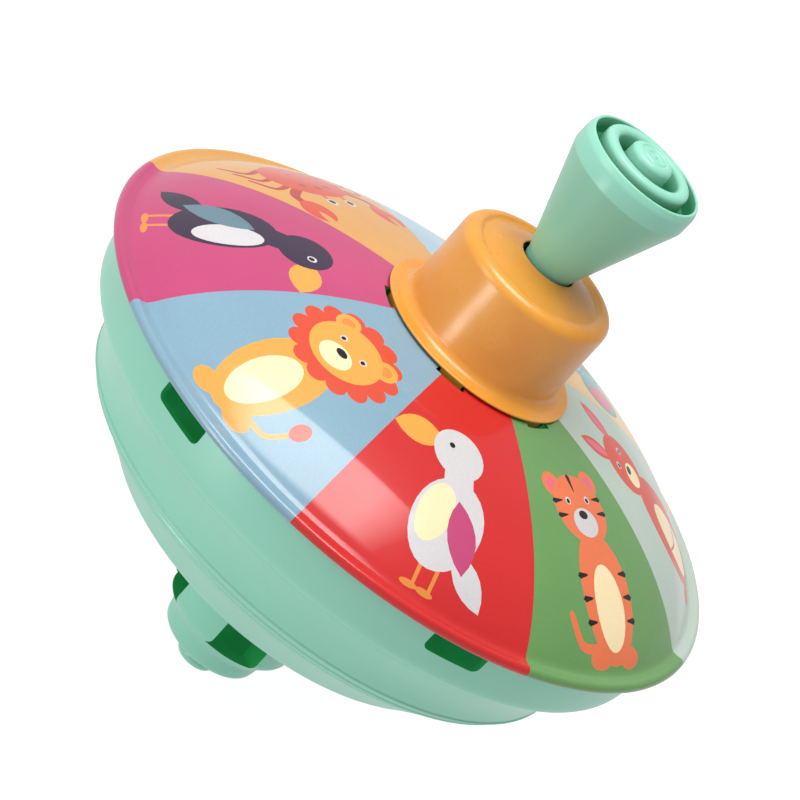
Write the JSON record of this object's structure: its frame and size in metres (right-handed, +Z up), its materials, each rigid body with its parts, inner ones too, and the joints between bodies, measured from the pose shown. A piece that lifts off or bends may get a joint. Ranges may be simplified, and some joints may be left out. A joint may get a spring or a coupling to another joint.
{
  "type": "spinning top",
  "caption": "Pump spinning top with a round tin dome, a moulded body and a knob that slides on a twisted rod.",
  "frame": {"origin": "centre of the foot's flat face, on the top's axis, on the floor", "axes": "+Z up along the top's axis, from the foot to the knob"},
  "size_m": [0.14, 0.14, 0.1413],
  "materials": {
    "mint_plastic": "semi-gloss moulded mint plastic",
    "green_plastic": "dark green moulded plastic",
    "natural_plastic": "unpigmented moulded plastic",
    "printed_tin": "glossy printed tin in eight coloured sectors",
    "ochre_tin": "glossy ochre lacquered tin",
    "steel": "plain bright steel",
    "brass": "plain brass"
  },
  "bodies": {
    "foot": {"foot_pad": "mint_plastic", "axle_pin": "steel", "pin_clip": "steel"},
    "top": {"foot_cage": "mint_plastic", "pin_bush": "brass", "thrust_cap": "steel", "cage_snap_ring": "natural_plastic", "reed_plate": "natural_plastic", "reed_1": "brass", "reed_2": "brass", "reed_3": "brass", "guide_tube": "green_plastic", "body_shell": "mint_plastic", "tin_dome": "printed_tin", "tin_collar": "ochre_tin", "drive_housing": "green_plastic", "housing_cap": "green_plastic", "housing_screw_1": "steel", "housing_screw_2": "steel", "housing_screw_3": "steel", "clutch_ring": "natural_plastic", "neck_guide": "green_plastic"},
    "driver": {"drive_nut": "natural_plastic", "drive_plate": "steel", "nut_washer": "steel"},
    "plunger": {"knob": "mint_plastic", "twisted_rod": "steel", "rod_ferrule": "brass", "end_stop": "steel"}
  },
  "joints": [
    {"name": "top_spin", "type": "hinge", "parent": "foot", "child": "top", "pos_m": [0, 0, 0.012], "axis": [0, 0, 1], "continuous": true},
    {"name": "knob_slide", "type": "slide", "parent": "foot", "child": "plunger", "axis": [0, 0, 1], "range_m": [0, 0.0625]},
    {"name": "nut_turn", "type": "hinge", "parent": "foot", "child": "driver", "pos_m": [0, 0, 0.0845], "axis": [0, 0, 1], "range_deg": [-470, 1]}
  ],
  "couplings": [
    {"joint": "nut_turn", "follows": "knob_slide", "rad_per_m": -130.9}
  ]
}
